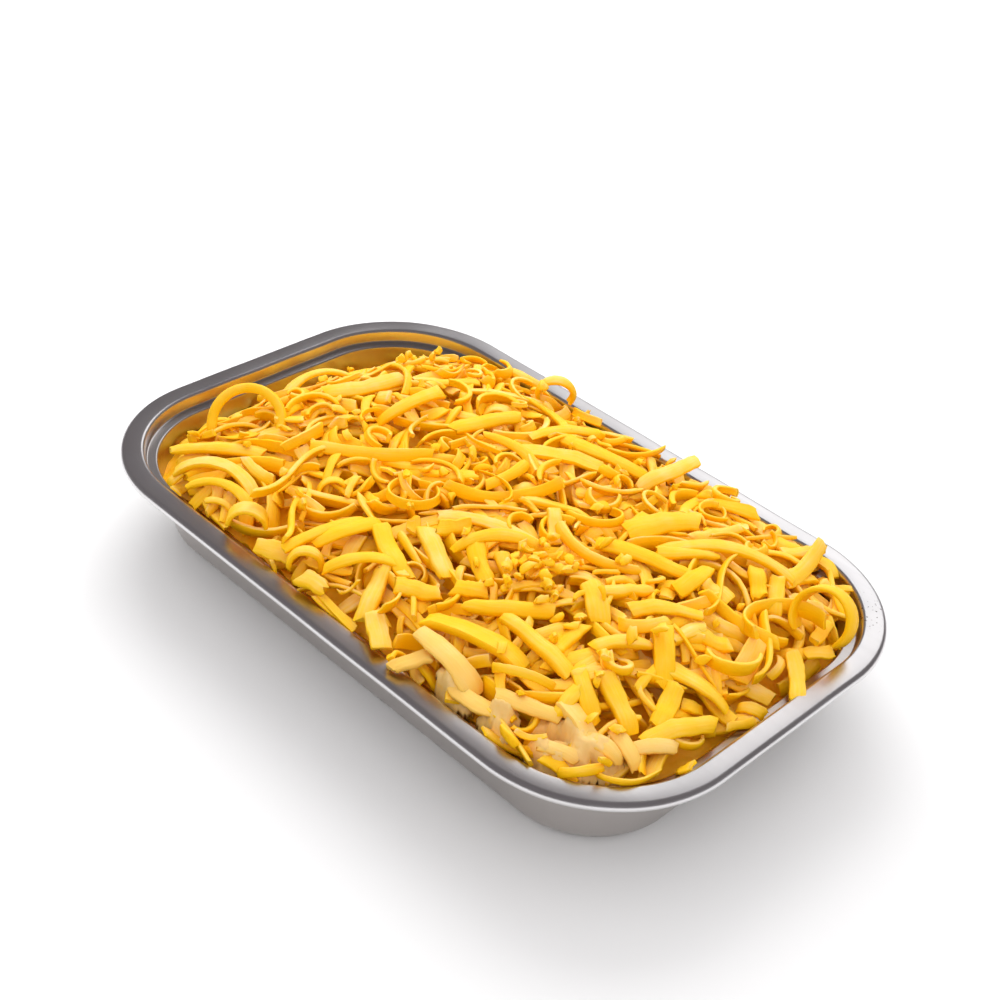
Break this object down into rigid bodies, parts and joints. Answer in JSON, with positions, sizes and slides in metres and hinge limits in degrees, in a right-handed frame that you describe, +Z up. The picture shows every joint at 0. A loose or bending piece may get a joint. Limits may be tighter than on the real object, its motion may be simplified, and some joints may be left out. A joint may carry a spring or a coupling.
{
  "type": "foil tray meal",
  "caption": "Shallow foil tray with a flat flange and rolled lip, filled with a creamy layer under a heap of grated cheese.",
  "frame": {"origin": "centre of the tray's flat base, on the surface it stands on", "axes": "+X along the tray's long side, +Y along its short side, +Z up"},
  "size_m": [0.2, 0.1274, 0.0436],
  "materials": {
    "foil": "satin smooth foil, bright at the bends",
    "cream": null,
    "cheese": null
  },
  "bodies": {
    "root": {"tray": "foil", "creamy_filling": "cream", "cheese_heap": "cheese"}
  },
  "joints": []
}
